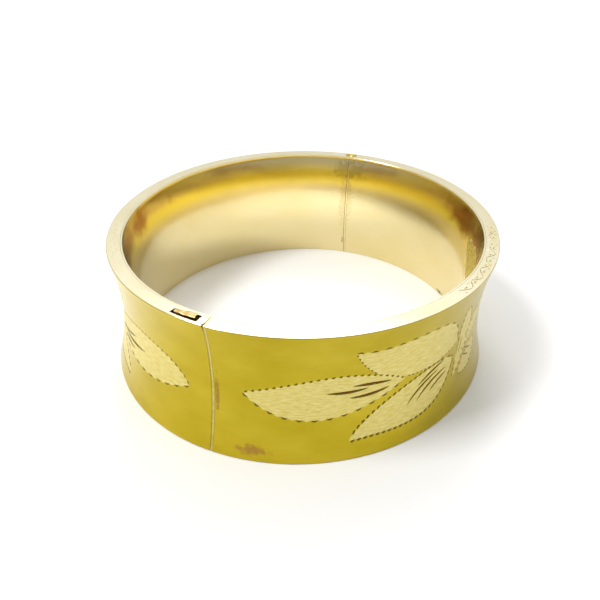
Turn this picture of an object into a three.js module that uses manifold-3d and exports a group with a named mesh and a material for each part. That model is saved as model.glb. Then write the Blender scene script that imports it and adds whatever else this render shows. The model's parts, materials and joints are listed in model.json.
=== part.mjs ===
// A wide, hollow, hinged bangle bracelet in sheet metal: two half hoops, a knuckle hinge at the back and
// a spring tongue with a thumb knob at the front.
//
// Millimetres, +Z up. The origin is the middle of the bangle, on the surface it stands on. The hinge is
// at +Y and the clasp at -Y. The front half is on the +X side of the seam, the back half on the -X side.

import * as THREE from 'three';
import { mergeVertices } from 'three/addons/utils/BufferGeometryUtils.js';
import Module from 'manifold-3d';

const wasm = await Module();
wasm.setup();

// Driving dimensions: the bangle
const LENGTH = 67.0;              // over the oval, hinge to clasp
const WIDTH = 61.2;               // over the oval, side to side
const HEIGHT = 21.0;
const RIM = 2.5;                  // width of the flat rims, outer edge to inner edge
const WAIST = 1.5;                // how far the outer wall draws in at half height
const SWELL = 1.2;                // how far the inner wall swells in at half height
const SHEET = 0.3;                // thickness of all the sheet metal
const SEAM_X = -1.8;              // the plane where the two halves meet
const SEAM_GAP = 0.1;             // width of that joint
const SOLDER = 0.03;              // gap between pieces that are soldered together
const VENT_RADIUS = 0.45;         // hole that lets the hollow breathe

// Driving dimensions: the hinge
const BARREL_RADIUS = 1.05;
const BARREL_CLEARANCE = 0.07;
const PIN_RADIUS = 0.45;
const PIN_CLEARANCE = 0.05;
const KNUCKLES = 5;
const KNUCKLE_GAP = 0.1;
const OPENING_ANGLE = 60;         // degrees that the front half swings out

// Driving dimensions: the clasp
const FOLD_X = -8.6;              // where the tongue's spring strip folds back on itself
const FOLD_DROP = 2.7;            // how far the fold's centre lies below the rim
const FOLD_RADIUS = 0.14;         // inside radius of the fold
const LEAF_END_X = -2.6;          // free end of the sprung leaf
const PRESS_ANGLE = 12;           // degrees that the sprung leaf goes down
const SLOT = { left: -7.35, right: -2.9, outer: 0.5 };
const KNOB = {
  left: -6.85, right: -3.45, outer: 0.76, stemOuter: 1.15,
  proud: 0.05, rise: 0.3, headDepth: 0.45,   // how far its left end stands proud, and the rise to its right end
};
const TONGUE_OUTER = 1.12;        // the tongue's outer edge, in from the bangle's outline
const SLIDING_GAP = 0.06;         // between the clasp's sliding pieces and the lining
const LEAF_TOP_DROP = 1;          // top of the sprung leaf, below the rim
const GUIDE_DROP = 3.3;           // top of the platform that the tongue slides on, below the rim

// Worked out from them
const HALF_LENGTH = LENGTH / 2;
const HALF_WIDTH = WIDTH / 2;
const HALF_HEIGHT = HEIGHT / 2;
const FLANGE_END = RIM - SHEET - SOLDER;
const SEAM_FRONT = SEAM_X + SEAM_GAP / 2;
const SEAM_BACK = SEAM_X - SEAM_GAP / 2;
const SEAM_Y = HALF_LENGTH * Math.sqrt(1 - (SEAM_X / HALF_WIDTH) ** 2);
const HINGE_Y = SEAM_Y - BARREL_RADIUS - 0.03;
const CHANNEL_RADIUS = BARREL_RADIUS + BARREL_CLEARANCE;
const FOLD_Z = HEIGHT - FOLD_DROP;
const BIG = 100;                  // larger than the bangle, for cutting boxes
const WALL_POINTS = 8;            // stretches in the curve of a wall, bottom to top
const HOOP_STEPS = 30;            // stretches in the sweep of a half hoop
const BARREL_SIDES = 24;

// ---------------------------------------------------------------- solids

function solidOf(geometry) {
  const bare = geometry.clone();
  bare.deleteAttribute('normal');
  bare.deleteAttribute('uv');
  const merged = mergeVertices(bare);
  const mesh = new wasm.Mesh({
    numProp: 3,
    vertProperties: new Float32Array(merged.attributes.position.array),
    triVerts: new Uint32Array(merged.index.array),
  });
  return new wasm.Manifold(mesh);
}

function geometryOf(solid) {
  const mesh = solid.getMesh();
  const geometry = new THREE.BufferGeometry();
  geometry.setAttribute('position', new THREE.BufferAttribute(new Float32Array(mesh.vertProperties), 3));
  geometry.setIndex(new THREE.BufferAttribute(new Uint32Array(mesh.triVerts), 1));
  geometry.computeVertexNormals();
  return geometry;
}

function boxSolid(low, high) {
  const size = high.map((value, axis) => value - low[axis]);
  const middle = high.map((value, axis) => (value + low[axis]) / 2);
  return solidOf(new THREE.BoxGeometry(...size).translate(...middle));
}

// A prism with the given outline in plan, from one height to another.
function planSolid(points, bottom, top) {
  const shape = new THREE.Shape(points);
  const geometry = new THREE.ExtrudeGeometry(shape, { depth: top - bottom, bevelEnabled: false });
  return solidOf(geometry.translate(0, 0, bottom));
}

// A prism with the given outline of [x, z] points, running through the clasp from front to back.
function sideSolid(points) {
  const shape = new THREE.Shape(points.map(([x, z]) => new THREE.Vector2(x, z)));
  const geometry = new THREE.ExtrudeGeometry(shape, { depth: BIG, bevelEnabled: false });
  return solidOf(geometry.rotateX(Math.PI / 2));
}

// ---------------------------------------------------------------- the oval and its walls

// A point on the oval, moved straight in from the outline by offset.
function ovalPoint(angle, offset) {
  const normal = new THREE.Vector2(HALF_LENGTH * Math.cos(angle), HALF_WIDTH * Math.sin(angle)).normalize();
  const x = HALF_WIDTH * Math.cos(angle) - offset * normal.x;
  const y = HALF_LENGTH * Math.sin(angle) - offset * normal.y;
  return new THREE.Vector2(x, y);
}

class OvalPath extends THREE.Curve {
  constructor(startAngle, endAngle) {
    super();
    this.startAngle = startAngle;
    this.endAngle = endAngle;
  }

  getPoint(t, target = new THREE.Vector3()) {
    const point = ovalPoint(THREE.MathUtils.lerp(this.startAngle, this.endAngle, t), 0);
    return target.set(point.x, point.y, 0);
  }
}

// The bow of a wall: 0 at the rims, 1 at half height.
const bow = (z) => 1 - ((z - HALF_HEIGHT) / HALF_HEIGHT) ** 2;
const outerFace = (z) => WAIST * bow(z);
const innerFace = (z) => RIM + SWELL * bow(z);

// Points [offset, z] up a wall whose offset from the outline is face(z).
function wallCurve(face, bottom, top) {
  return Array.from({ length: WALL_POINTS + 1 }, (_, i) => {
    const z = THREE.MathUtils.lerp(bottom, top, i / WALL_POINTS);
    return [face(z), z];
  });
}

// A closed outline of [offset, z] points swept round half of the oval, on one side of the seam.
function halfHoop(outline, side) {
  const seamAngle = Math.acos(SEAM_X / HALF_WIDTH);
  const overrun = THREE.MathUtils.degToRad(3);
  const start = side === 'front' ? -seamAngle - overrun : seamAngle - overrun;
  const end = side === 'front' ? seamAngle + overrun : 2 * Math.PI - seamAngle + overrun;
  const shape = new THREE.Shape(outline.map(([offset, z]) => new THREE.Vector2(-z, offset)));
  return solidOf(new THREE.ExtrudeGeometry(shape, {
    steps: HOOP_STEPS,
    bevelEnabled: false,
    extrudePath: new OvalPath(start, end),
  }));
}

function sideOfSeam(side, inset = 0) {
  return side === 'front'
    ? boxSolid([SEAM_FRONT + inset, -BIG, -BIG], [BIG, BIG, BIG])
    : boxSolid([-BIG, -BIG, -BIG], [SEAM_BACK - inset, BIG, BIG]);
}

// The room for the hinge barrel, with the wedge outside it that lets the halves fold back.
function hingeChannel() {
  const barrel = new THREE.CylinderGeometry(CHANNEL_RADIUS, CHANNEL_RADIUS, 3 * HEIGHT, 2 * BARREL_SIDES);
  barrel.rotateX(Math.PI / 2).translate(SEAM_X, HINGE_Y, HALF_HEIGHT);
  const reach = 3;
  const halfAngle = THREE.MathUtils.degToRad(OPENING_ANGLE / 2 + 1);
  const wedge = planSolid([
    new THREE.Vector2(SEAM_X, HINGE_Y),
    new THREE.Vector2(SEAM_X + reach * Math.tan(halfAngle), HINGE_Y + reach),
    new THREE.Vector2(SEAM_X - reach * Math.tan(halfAngle), HINGE_Y + reach),
  ], -HEIGHT, 2 * HEIGHT);
  return solidOf(barrel).add(wedge);
}

// ---------------------------------------------------------------- shells and linings

// The decorated wall and both flat rims: one sheet, C-shaped in section.
function outerShell(side) {
  const outline = [
    ...wallCurve(outerFace, 0, HEIGHT),
    [FLANGE_END, HEIGHT],
    [FLANGE_END, HEIGHT - SHEET],
    ...wallCurve((z) => outerFace(z) + SHEET, SHEET, HEIGHT - SHEET).reverse(),
    [FLANGE_END, SHEET],
    [FLANGE_END, 0],
  ];
  return halfHoop(outline, side);
}

function frontOuterShell() {
  return outerShell('front').intersect(sideOfSeam('front', SHEET + SOLDER)).subtract(hingeChannel());
}

function backOuterShell() {
  const plan = claspOutline(SLOT.left, SLOT.right, SLOT.outer, RIM);
  const slot = planSolid(plan, HEIGHT - 2 * SHEET, HEIGHT + 1);
  return outerShell('back').intersect(sideOfSeam('back')).subtract(hingeChannel()).subtract(slot);
}

// The plain wall against the wrist, soldered inside the rims.
function liner(side, inset = 0) {
  const outline = [
    ...wallCurve((z) => innerFace(z) - SHEET, 0, HEIGHT),
    ...wallCurve(innerFace, 0, HEIGHT).reverse(),
  ];
  return halfHoop(outline, side).intersect(sideOfSeam(side, inset)).subtract(hingeChannel());
}

// The vent goes through the front lining, low down and at the side away from the hinge and clasp.
function frontInnerLiner() {
  const vent = new THREE.CylinderGeometry(VENT_RADIUS, VENT_RADIUS, 6, BARREL_SIDES);
  vent.rotateZ(Math.PI / 2).translate(HALF_WIDTH - RIM - SWELL / 2, 0, 3);
  const ventTurn = THREE.MathUtils.degToRad(-8);
  return liner('front', SHEET + SOLDER).subtract(solidOf(vent.rotateZ(ventTurn)));
}

// ---------------------------------------------------------------- end plates

// The full thickness of the wall between two offsets, as a solid band.
function wallBand(side, outerOffset, innerOffset, bottom, top) {
  return halfHoop([
    ...wallCurve((z) => outerFace(z) + outerOffset, bottom, top),
    ...wallCurve((z) => innerFace(z) - innerOffset, bottom, top).reverse(),
  ], side);
}

// The front half's clasp end is capped by a plate that covers the ends of both walls.
function frontClaspPlate() {
  const slab = boxSolid([SEAM_FRONT, -BIG, -BIG], [SEAM_FRONT + SHEET, 0, BIG]);
  return wallBand('front', 0, 0, 0, HEIGHT).intersect(slab);
}

// The back half's plate is let in between its walls and stops below the mouth that takes the tongue.
function backClaspPlate() {
  const slab = boxSolid([SEAM_BACK - SHEET, -BIG, -BIG], [SEAM_BACK, 0, HEIGHT - GUIDE_DROP]);
  const inset = SHEET + SOLDER;
  return wallBand('back', inset, inset, inset, HEIGHT - inset).intersect(slab);
}

// Bearers close both hinge ends; each has a rounded channel for the barrel.
function hingePlate(side) {
  const low = side === 'front' ? SEAM_FRONT : SEAM_BACK - SHEET;
  const slab = boxSolid([low, 0, -BIG], [low + SHEET, BIG, BIG]);
  const inset = SHEET + SOLDER;
  const cap = side === 'front' ? 0 : inset;
  const bottom = side === 'front' ? 0 : inset;
  return wallBand(side, cap, cap, bottom, HEIGHT - bottom).intersect(slab).subtract(hingeChannel());
}

// ---------------------------------------------------------------- hinge

function knuckle(index) {
  const pitch = HEIGHT / KNUCKLES;
  const bottom = index * pitch + KNUCKLE_GAP / 2;
  const top = (index + 1) * pitch - KNUCKLE_GAP / 2;
  const bore = PIN_RADIUS + PIN_CLEARANCE;
  const outline = [
    new THREE.Vector2(bore, bottom),
    new THREE.Vector2(BARREL_RADIUS, bottom),
    new THREE.Vector2(BARREL_RADIUS, top),
    new THREE.Vector2(bore, top),
    new THREE.Vector2(bore, bottom),
  ];
  const ring = new THREE.LatheGeometry(outline, BARREL_SIDES).rotateX(Math.PI / 2);
  return geometryOf(solidOf(ring.translate(SEAM_X, HINGE_Y, 0)));
}

function hingePin() {
  const length = HEIGHT - KNUCKLE_GAP;
  const pin = new THREE.CylinderGeometry(PIN_RADIUS, PIN_RADIUS, length, BARREL_SIDES);
  return pin.rotateX(Math.PI / 2).translate(SEAM_X, HINGE_Y, HALF_HEIGHT);
}

// ---------------------------------------------------------------- clasp

// The plan outline of a band at the clasp, between two offsets from the bangle's outline.
function claspOutline(left, right, outerOffset, innerOffset) {
  const run = (offset) => Array.from({ length: 7 }, (_, i) => {
    const x = THREE.MathUtils.lerp(left, right, i / 6);
    return ovalPoint(-Math.acos(x / HALF_WIDTH), offset);
  });
  return [...run(outerOffset), ...run(innerOffset).reverse()];
}

// The plan outline of a piece that slides into the mouth: its outer edge follows the wall, and its inner
// edge is an arc about the hinge, so it draws straight out as the front half swings.
function slidingOutline(outerOffset, innerRadius) {
  const left = -11;
  const right = SEAM_FRONT - SOLDER;
  const outerEdge = claspOutline(left, right, outerOffset, outerOffset).slice(0, 7);
  const innerEdge = Array.from({ length: 7 }, (_, i) => {
    const x = THREE.MathUtils.lerp(right, left, i / 6);
    return new THREE.Vector2(x, HINGE_Y - Math.sqrt(innerRadius ** 2 - (x - SEAM_X) ** 2));
  });
  const meeting = outerEdge.findIndex((point, i) => point.y < innerEdge[6 - i].y);
  return [...outerEdge.slice(meeting), ...innerEdge.slice(0, 7 - meeting)];
}

// How far the lining's hollow side is from the hinge axis, where the seam crosses it.
function mouthRadius(drop) {
  return SEAM_Y - (innerFace(HEIGHT - drop) - SHEET) + HINGE_Y;
}

function arcPoints(radius, fromDegrees, toDegrees, count) {
  return Array.from({ length: count }, (_, i) => {
    const angle = THREE.MathUtils.degToRad(THREE.MathUtils.lerp(fromDegrees, toDegrees, i / (count - 1)));
    return [FOLD_X + radius * Math.cos(angle), FOLD_Z + radius * Math.sin(angle)];
  });
}

// The tongue: a flat strip soldered to the front half's plate, folded up at its far end.
function tongue() {
  const outside = FOLD_RADIUS + SHEET;
  const root = SEAM_FRONT - SOLDER;
  const upTo = 90 + PRESS_ANGLE + 3;
  const side = sideSolid([
    [root, FOLD_Z - FOLD_RADIUS],
    ...arcPoints(FOLD_RADIUS, 270, upTo, 8),
    ...arcPoints(outside, upTo, 270, 12),
    [root, FOLD_Z - outside],
  ]);
  const plan = planSolid(slidingOutline(TONGUE_OUTER, mouthRadius(LEAF_TOP_DROP) + SLIDING_GAP), 0, HEIGHT);
  return side.intersect(plan);
}

// The strip's sprung upper leaf, which climbs from the fold to its free end.
function latchLeaf() {
  const outside = FOLD_RADIUS + SHEET;
  const climb = THREE.MathUtils.degToRad(PRESS_ANGLE);
  const length = (LEAF_END_X - FOLD_X) / Math.cos(climb);
  const along = (distance, height) => [
    FOLD_X + distance * Math.cos(climb) - height * Math.sin(climb),
    FOLD_Z + distance * Math.sin(climb) + height * Math.cos(climb),
  ];
  const side = sideSolid([
    along(0, FOLD_RADIUS),
    along(length, FOLD_RADIUS),
    along(length, outside),
    along(0, outside),
  ]);
  const plan = planSolid(slidingOutline(TONGUE_OUTER, mouthRadius(LEAF_TOP_DROP) + SLIDING_GAP), 0, HEIGHT);
  return side.intersect(plan);
}

// The thumb knob: a wedge-topped head that fills the slot, on a narrower stem that stands on the leaf.
function thumbKnob() {
  const climb = THREE.MathUtils.degToRad(PRESS_ANGLE);
  const top = HEIGHT + KNOB.proud;
  const leafTop = (x) => {
    const level = FOLD_Z + (FOLD_RADIUS + SHEET) / Math.cos(climb);
    return level + (x - FOLD_X) * Math.tan(climb) + SOLDER;
  };
  const blockAbove = (bottomLeft, bottomRight) => sideSolid([
    [KNOB.left, bottomLeft],
    [KNOB.right, bottomRight],
    [KNOB.right, top + KNOB.rise],
    [KNOB.left, top],
  ]);
  const innerRadius = mouthRadius(0) + SLIDING_GAP;
  const headBottom = top - KNOB.headDepth;
  const head = blockAbove(headBottom, headBottom)
    .intersect(planSolid(slidingOutline(KNOB.outer, innerRadius), 0, 2 * HEIGHT));
  const stem = blockAbove(leafTop(KNOB.left), leafTop(KNOB.right))
    .intersect(planSolid(slidingOutline(KNOB.stemOuter, innerRadius), 0, 2 * HEIGHT));
  return head.add(stem);
}

// A platform across the hollow of the back half that the tongue slides in on.
function tongueGuide() {
  const top = HEIGHT - GUIDE_DROP;
  const outer = outerFace(top - SHEET) + SHEET + SOLDER;
  const inner = innerFace(top) - SHEET - SOLDER;
  const platform = planSolid(claspOutline(FOLD_X - 1, SEAM_X, outer, inner), top - SHEET, top);
  return platform.intersect(sideOfSeam('back', SHEET + SOLDER));
}

// ---------------------------------------------------------------- the bangle

const finishes = {
  shell: { color: 0xc9b237, roughness: 0.22, metalness: 1 },
  liner: { color: 0xd6bd55, roughness: 0.28, metalness: 1 },
  plate: { color: 0xb9a03a, roughness: 0.35, metalness: 1 },
  hinge: { color: 0xb89c3c, roughness: 0.35, metalness: 1 },
  clasp: { color: 0xdcc27a, roughness: 0.3, metalness: 1 },
};

const group = new THREE.Group();

function addPiece(name, geometry, finish) {
  const mesh = new THREE.Mesh(geometry, new THREE.MeshStandardMaterial(finishes[finish]));
  mesh.name = name;
  group.add(mesh);
}

addPiece('back_outer_shell', geometryOf(backOuterShell()), 'shell');
addPiece('back_inner_liner', geometryOf(liner('back')), 'liner');
addPiece('back_clasp_plate', geometryOf(backClaspPlate()), 'plate');
addPiece('back_hinge_plate', geometryOf(hingePlate('back')), 'plate');
addPiece('tongue_guide', geometryOf(tongueGuide()), 'plate');
addPiece('front_outer_shell', geometryOf(frontOuterShell()), 'shell');
addPiece('front_inner_liner', geometryOf(frontInnerLiner()), 'liner');
addPiece('front_clasp_plate', geometryOf(frontClaspPlate()), 'plate');
addPiece('front_hinge_plate', geometryOf(hingePlate('front')), 'plate');
for (let i = 0; i < KNUCKLES; i += 1) {
  addPiece(`hinge_knuckle_${i + 1}`, knuckle(i), 'hinge');
}
addPiece('hinge_pin', hingePin(), 'hinge');
addPiece('tongue', geometryOf(tongue()), 'clasp');
addPiece('latch_leaf', geometryOf(latchLeaf()), 'clasp');
addPiece('thumb_knob', geometryOf(thumbKnob()), 'clasp');

export default group;
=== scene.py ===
"""Looks for a hinged gold bangle engraved with leaf sprays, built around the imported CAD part.

Shapes are worked out in millimetres in the CAD frame, and become metres as each mesh is made.
A place on a wall is (along, up): along is the distance round the outline from the clasp seam, and up is
the height. A place on a rim is (along, inward): inward is the distance in from the outline.
"""

import json
import math

import bmesh
import bpy
import numpy as np
from mathutils import Matrix, Vector
from mathutils.geometry import delaunay_2d_cdt, tessellate_polygon


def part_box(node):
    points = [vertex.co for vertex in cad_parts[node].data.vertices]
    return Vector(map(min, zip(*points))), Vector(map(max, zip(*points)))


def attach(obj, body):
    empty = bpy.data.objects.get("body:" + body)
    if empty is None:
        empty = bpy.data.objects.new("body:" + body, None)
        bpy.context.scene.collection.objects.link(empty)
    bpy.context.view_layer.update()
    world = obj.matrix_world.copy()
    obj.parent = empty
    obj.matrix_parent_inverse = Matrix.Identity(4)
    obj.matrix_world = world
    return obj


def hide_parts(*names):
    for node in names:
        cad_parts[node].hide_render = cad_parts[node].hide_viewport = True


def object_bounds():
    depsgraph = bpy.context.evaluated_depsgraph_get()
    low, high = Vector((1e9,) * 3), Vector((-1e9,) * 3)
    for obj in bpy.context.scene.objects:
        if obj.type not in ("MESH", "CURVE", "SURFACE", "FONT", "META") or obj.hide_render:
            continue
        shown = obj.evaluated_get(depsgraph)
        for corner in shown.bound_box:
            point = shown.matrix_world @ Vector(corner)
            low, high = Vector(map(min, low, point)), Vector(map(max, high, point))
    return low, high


MM = 0.001
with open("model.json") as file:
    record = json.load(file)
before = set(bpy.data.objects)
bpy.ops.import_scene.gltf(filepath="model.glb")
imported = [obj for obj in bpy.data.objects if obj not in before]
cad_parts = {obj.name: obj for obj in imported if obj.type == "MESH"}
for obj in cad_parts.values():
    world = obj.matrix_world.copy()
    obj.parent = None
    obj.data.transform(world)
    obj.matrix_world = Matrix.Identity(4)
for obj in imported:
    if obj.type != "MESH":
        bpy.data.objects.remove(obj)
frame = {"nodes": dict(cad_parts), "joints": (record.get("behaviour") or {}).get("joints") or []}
cad_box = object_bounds()


# ---------------------------------------------------------------- sizes, from the frame

def box_mm(node):
    low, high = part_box(node)
    return low / MM, high / MM


HALF_WIDTH = cad_box[1].x / MM
HALF_LENGTH = cad_box[1].y / MM
_, SHELL_HIGH = box_mm("front_outer_shell")
_, LINER_HIGH = box_mm("front_inner_liner")
PLATE_LOW, PLATE_HIGH = box_mm("front_clasp_plate")
_, BACK_PLATE_HIGH = box_mm("back_clasp_plate")
KNUCKLE_LOW, KNUCKLE_HIGH = box_mm("hinge_knuckle_1")
PIN_LOW, PIN_HIGH = box_mm("hinge_pin")
KNOB_LOW, KNOB_HIGH = box_mm("thumb_knob")
_, LEAF_HIGH = box_mm("latch_leaf")
_, TONGUE_HIGH = box_mm("tongue")

HEIGHT = SHELL_HIGH.z
SHEET = PLATE_HIGH.x - PLATE_LOW.x
SOLDER = 0.03                               # gap between soldered pieces
RIM = HALF_WIDTH - LINER_HIGH.x + SHEET     # width of a flat rim
WAIST = 1.5                                 # how far the outer wall draws in at half height
SWELL = 1.2                                 # how far the inner wall swells in at half height
SEAM_FRONT = PLATE_LOW.x
SEAM_BACK = BACK_PLATE_HIGH.x
SEAM_X = (SEAM_FRONT + SEAM_BACK) / 2
SEAM_Y = HALF_LENGTH * math.sqrt(1 - (SEAM_X / HALF_WIDTH) ** 2)
BARREL_RADIUS = (KNUCKLE_HIGH.y - KNUCKLE_LOW.y) / 2
HINGE_Y = (KNUCKLE_HIGH.y + KNUCKLE_LOW.y) / 2
CHANNEL_RADIUS = BARREL_RADIUS + 0.07
CHANNEL_ANGLE = math.radians(31)            # each side of the wedge outside the barrel
FLANGE_END = RIM - SHEET - SOLDER           # inner edge of the shell's rims
SLOT_OUTER = 0.5                            # outer edge of the slot in the rim
SLOT_ROOM = 0.5                             # between the knob and each end of its slot
SLOT_BAR = 0.22                             # width of the sheet left along the slot's inner edge
SLOT_GAP = 0.14                             # between the knob's sweep and the slot's inner edge
BAR_GAP = 0.06                              # between the knob and that bar
SLIDING_GAP = 0.06                          # between the lining and what swings past it
HINGE_SEAM = 0.04                           # between the back lining and the front plate at the hinge
SEAM_NOTCH = 0.3                            # worn off the back half's rim at the seam
EDGE_RADIUS = 0.16                          # rounding where an outer wall turns into a rim
EDGE_TURNS = 4                              # steps in that rounding
END_RADIUS = 0.025                          # rounding where a half ends at a seam
MOUTH_RADIUS = SEAM_Y - (RIM - SHEET) + HINGE_Y   # hinge axis to the lining's hollow side, at the rim

ALONG_STEP = 0.9                            # length of a plain mesh cell round the hoop
UP_STEP = 0.9                               # its height up a wall
END_CELL = 0.45                             # length of the mesh cell next to a half's end
GROOVE_ROOM = 0.28                          # plain mesh points keep this far from an engraved one


# ---------------------------------------------------------------- the oval

def oval(angle, inward):
    """Points on the oval moved in from the outline, with the outward direction at each, in plan."""
    away = np.stack([HALF_LENGTH * np.cos(angle), HALF_WIDTH * np.sin(angle)], -1)
    away /= np.linalg.norm(away, axis=-1, keepdims=True)
    line = np.stack([HALF_WIDTH * np.cos(angle), HALF_LENGTH * np.sin(angle)], -1)
    return line - np.asarray(inward)[..., None] * away, away


CLASP_ANGLE = -math.acos(SEAM_X / HALF_WIDTH)


class Half:
    """One half of the hoop. direction is 1 where along runs with the angle, and -1 where it runs against."""

    def __init__(self, body, direction):
        self.body = body
        self.direction = direction
        sweep = 2 * -CLASP_ANGLE if direction > 0 else 2 * math.pi + 2 * CLASP_ANGLE
        self.angles = CLASP_ANGLE + direction * np.linspace(0, sweep, 2001)
        line, _ = oval(self.angles, np.zeros(2001))
        steps = np.linalg.norm(np.diff(line, axis=0), axis=1)
        self.lengths = np.concatenate([[0], np.cumsum(steps)])
        self.length = self.lengths[-1]
        self.middle = self.length / 2

    def angle(self, along):
        return np.interp(along, self.lengths, self.angles)

    def end_angle(self, x, inward, at_hinge):
        """The angle at which the line that far in from the outline crosses the plane of this x."""
        across = x / HALF_WIDTH
        for _ in range(8):
            angle = np.arccos(np.clip(across, -1, 1))
            _, away = oval(angle, inward)
            across = (x + inward * away[..., 0]) / HALF_WIDTH
        angle = np.arccos(np.clip(across, -1, 1))
        if not at_hinge:
            return -angle
        return angle if self.direction > 0 else angle - 2 * math.pi


FRONT = Half("front_half", 1)
BACK = Half("back_half", -1)


def bow(up):
    """The bow of a wall: 0 at the rims, 1 at half height."""
    return 1 - (2 * up / HEIGHT - 1) ** 2


def bow_slope(up):
    return -4 / HEIGHT * (2 * up / HEIGHT - 1)


def channel_half_width(inward):
    """How far the hinge channel reaches each side of the seam."""
    outside = SEAM_Y - inward - HINGE_Y
    barrel = np.sqrt(np.maximum(CHANNEL_RADIUS ** 2 - outside ** 2, 0))
    wedge = np.maximum(outside, 0) * math.tan(CHANNEL_ANGLE)
    return np.maximum(barrel, wedge)


# ---------------------------------------------------------------- sections of the hoop

class Section:
    """A closed outline of the hoop's section: rows of (inward, up), each with its outward normal.

    crease marks the rows where the outline turns sharply, which the mesh follows all the way round.
    """

    def __init__(self):
        self.points = []
        self.normals = []
        self.creases = []
        self.marks = {}

    def add(self, points, normals, crease=False):
        self.points += [tuple(p) for p in points]
        self.normals += [tuple(n) for n in normals]
        self.creases += [crease] * len(points)

    def mark(self, name):
        """Names the next row."""
        self.marks[name] = len(self.points)

    def close(self):
        self.points = np.array(self.points)
        self.normals = np.array(self.normals)
        steps = np.linalg.norm(np.diff(self.points, axis=0), axis=1)
        gap = np.linalg.norm(self.points[0] - self.points[-1])
        self.girths = np.concatenate([[0], np.cumsum(steps)])
        self.girth = self.girths[-1] + gap
        return self

    def stretch(self, name):
        """(values, girths) of a marked stretch: up for a wall, inward for a rim, in rising order."""
        first, last = self.marks[name], self.marks[name + " end"]
        axis = 0 if "rim" in name else 1
        values, girths = self.points[first:last, axis], self.girths[first:last]
        order = np.argsort(values)
        return values[order], girths[order]

    def at(self, girth):
        """Places and normals at distances round the outline."""
        wrapped = np.append(self.girths, self.girth)
        points = np.vstack([self.points, self.points[:1]])
        normals = np.vstack([self.normals, self.normals[:1]])
        place = np.stack([np.interp(girth, wrapped, points[:, k]) for k in (0, 1)], -1)
        normal = np.stack([np.interp(girth, wrapped, normals[:, k]) for k in (0, 1)], -1)
        return place, normal / np.linalg.norm(normal, axis=-1, keepdims=True)


def wall_rows(base, swing, side, low, high, step=UP_STEP):
    """Rows up a bowed wall, from low to high. side is -1 for a wall that faces out, 1 for one facing in."""
    count = max(2, round(abs(high - low) / step))
    up = np.linspace(low, high, count + 1)
    slope = swing * bow_slope(up)
    normals = np.stack([np.full_like(up, side), -side * slope], -1)
    normals /= np.linalg.norm(normals, axis=1, keepdims=True)
    return np.stack([base + swing * bow(up), up], -1), normals


def flat_rows(start, end, normal, count):
    points = np.linspace(start, end, count + 1)
    return points, np.tile(np.array(normal, float), (count + 1, 1))


def edge_rows(top):
    """The rounded edge between an outer wall and a rim, from the wall round to the rim."""
    flare = WAIST * bow_slope(0)
    run = math.hypot(1, flare)
    centre_up = HEIGHT - EDGE_RADIUS if top else EDGE_RADIUS
    centre = np.array([EDGE_RADIUS * (run + flare), centre_up])
    start = math.atan2(-flare, -1)
    turn = (start + 2 * math.pi - math.pi / 2) % (2 * math.pi)
    angles = np.linspace(start, start - turn, EDGE_TURNS + 1)
    normals = np.stack([np.cos(angles), np.sin(angles)], -1)
    if not top:
        normals[:, 1] *= -1
    return centre + EDGE_RADIUS * normals, normals


def shell_section():
    """The outer wall and both rims: one C-shaped sheet. It starts inside the bottom rim."""
    section = Section()
    top_edge, top_normals = edge_rows(top=True)
    low_edge, low_normals = edge_rows(top=False)
    section.add([(FLANGE_END, SHEET)], [(1, 0)], crease=True)
    section.add([(FLANGE_END, 0)], [(0, -1)], crease=True)
    section.add(*flat_rows((FLANGE_END - 0.15, 0), (low_edge[-1][0] + 0.1, 0), (0, -1), 8))
    section.add(low_edge[::-1], low_normals[::-1], crease=True)
    section.mark("wall")
    section.add(*wall_rows(0, WAIST, -1, low_edge[0][1] + 0.3, top_edge[0][1] - 0.3))
    section.mark("wall end")
    section.add(top_edge, top_normals, crease=True)
    section.mark("rim")
    section.add(*flat_rows((top_edge[-1][0] + 0.1, HEIGHT), (FLANGE_END - 0.15, HEIGHT), (0, 1), 8))
    section.mark("rim end")
    section.add([(FLANGE_END, HEIGHT)], [(0, 1)], crease=True)
    section.add([(FLANGE_END, HEIGHT - SHEET)], [(1, 0)], crease=True)
    inner = SHEET + WAIST * bow(SHEET)
    section.add(*flat_rows((FLANGE_END - 0.4, HEIGHT - SHEET), (inner + 0.4, HEIGHT - SHEET), (0, -1), 4))
    section.add([(inner, HEIGHT - SHEET)], [(1, 0)], crease=True)
    section.add(*wall_rows(SHEET, WAIST, 1, HEIGHT - 2, 2, 2))
    section.add([(inner, SHEET)], [(1, 0)], crease=True)
    section.add(*flat_rows((inner + 0.4, SHEET), (FLANGE_END - 0.4, SHEET), (0, 1), 4))
    return section.close()


def band_section(outer_base, outer_swing, inner_base, inner_swing, low, high, round_outer=False):
    """A closed band between two bowed walls, from one height to another. It starts inside, at the bottom."""
    section = Section()
    if round_outer:
        low_edge, low_normals = edge_rows(top=False)
        top_edge, top_normals = edge_rows(top=True)
        section.add(low_edge[::-1], low_normals[::-1], crease=True)
        section.add(*wall_rows(0, outer_swing, -1, low_edge[0][1] + 0.3, top_edge[0][1] - 0.3))
        section.add(top_edge, top_normals, crease=True)
    else:
        section.add([(outer_base + outer_swing * bow(low), low)], [(0, -1)], crease=True)
        section.add(*wall_rows(outer_base, outer_swing, -1, low + 0.5, high - 0.5))
        section.add([(outer_base + outer_swing * bow(high), high)], [(0, 1)], crease=True)
    soft = 0.06
    section.add([(inner_base + inner_swing * bow(high) - soft, high)], [(0, 1)], crease=True)
    section.add([(inner_base + inner_swing * bow(high), high - soft)], [(1, 0)], crease=True)
    section.mark("wall")
    section.add(*wall_rows(inner_base, inner_swing, 1, high - 0.6, low + 0.6))
    section.mark("wall end")
    section.add([(inner_base + inner_swing * bow(low), low + soft)], [(1, 0)], crease=True)
    section.add([(inner_base + inner_swing * bow(low) - soft, low)], [(0, -1)], crease=True)
    return section.close()


# ---------------------------------------------------------------- engraving

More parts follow.
